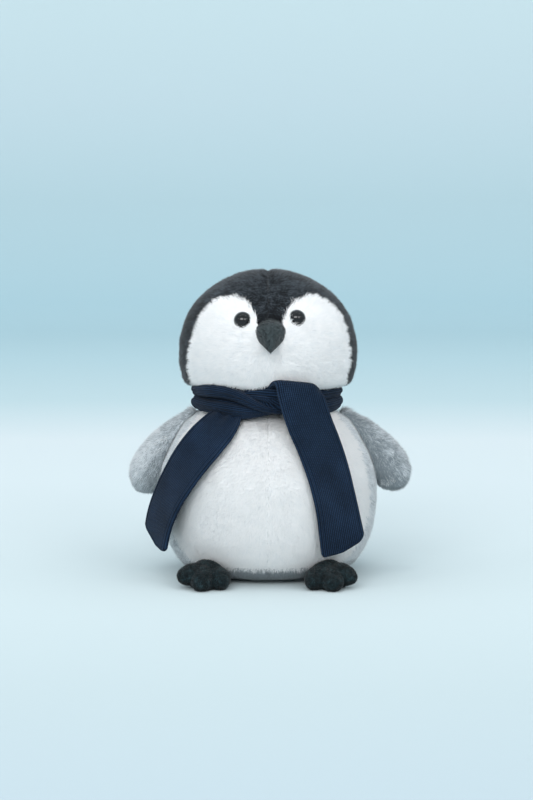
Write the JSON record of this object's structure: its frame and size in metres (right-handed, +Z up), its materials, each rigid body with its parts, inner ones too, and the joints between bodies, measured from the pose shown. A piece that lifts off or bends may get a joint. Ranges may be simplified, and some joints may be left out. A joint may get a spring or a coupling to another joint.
{
  "type": "plush penguin",
  "caption": "Seated plush penguin with dark hood, white face and belly, grey back and wings, short beak, button eyes and a knitted scarf",
  "frame": {"origin": "middle of the flat sewn base that the toy sits on, on the floor", "axes": "+Z up, the toy faces -Y, +X to the right as seen from the front"},
  "size_m": [0.201, 0.1762, 0.2178],
  "materials": {
    "hood_plush": "short dense charcoal plush pile, combed back",
    "white_plush": "short dense white plush pile",
    "grey_plush": "mottled light grey plush pile, darker where it parts",
    "foot_velour": "short-napped dark grey-green velour",
    "beak_velour": "short-napped slate velour with a small tuck under the tip",
    "scarf_knit": "fine ribbed navy knit, two layers, with a line of stitching inside each edge",
    "eye_plastic": "polished black",
    "washer_plastic": "natural moulded",
    "fibre_stuffing": "loose polyester fibre",
    "pouch_cloth": "plain woven cloth, filled with pellets"
  },
  "bodies": {
    "torso": {"back_left": "grey_plush", "back_right": "grey_plush", "base_panel": "grey_plush", "belly_left": "white_plush", "belly_right": "white_plush", "body_stuffing": "fibre_stuffing", "foot_left_sole": "foot_velour", "foot_left_stuffing": "fibre_stuffing", "foot_left_upper": "foot_velour", "foot_right_sole": "foot_velour", "foot_right_stuffing": "fibre_stuffing", "foot_right_upper": "foot_velour", "pellet_pouch": "pouch_cloth", "scarf_neck_wrap": "scarf_knit", "tail_cover": "grey_plush", "tail_stuffing": "fibre_stuffing"},
    "head": {"beak_cover": "beak_velour", "beak_stuffing": "fibre_stuffing", "eye_left": "eye_plastic", "eye_right": "eye_plastic", "eye_washer_left": "washer_plastic", "eye_washer_right": "washer_plastic", "face_left": "white_plush", "face_right": "white_plush", "head_stuffing": "fibre_stuffing", "hood_left": "hood_plush", "hood_right": "hood_plush"},
    "wing_left": {"wing_left_back": "grey_plush", "wing_left_front": "grey_plush", "wing_left_stuffing": "fibre_stuffing"},
    "wing_right": {"wing_right_back": "grey_plush", "wing_right_front": "grey_plush", "wing_right_stuffing": "fibre_stuffing"},
    "scarf_end_left": {"scarf_end_left": "scarf_knit"},
    "scarf_end_right": {"scarf_end_right": "scarf_knit"}
  },
  "joints": [
    {"name": "head_turn", "type": "hinge", "parent": "torso", "child": "head", "pos_m": [0, 0, 0.134], "axis": [0, 0, 1], "range_deg": [-20, 20], "stiffness_Nm_per_rad": 0.05},
    {"name": "wing_left_lift", "type": "hinge", "parent": "torso", "child": "wing_left", "pos_m": [-0.058, 0.004, 0.113], "axis": [0, 1, 0], "range_deg": [0, 50], "stiffness_Nm_per_rad": 0.01},
    {"name": "wing_right_lift", "type": "hinge", "parent": "torso", "child": "wing_right", "pos_m": [0.058, 0.004, 0.113], "axis": [0, -1, 0], "range_deg": [0, 50], "stiffness_Nm_per_rad": 0.01},
    {"name": "scarf_end_left_swing", "type": "hinge", "parent": "torso", "child": "scarf_end_left", "pos_m": [-0.0292, -0.0601, 0.1172], "axis": [-0.8988, 0.4384, 0], "range_deg": [0, 75]},
    {"name": "scarf_end_right_swing", "type": "hinge", "parent": "torso", "child": "scarf_end_right", "pos_m": [0.0274, -0.0633, 0.1172], "axis": [-0.9205, -0.3907, 0], "range_deg": [0, 75]}
  ]
}
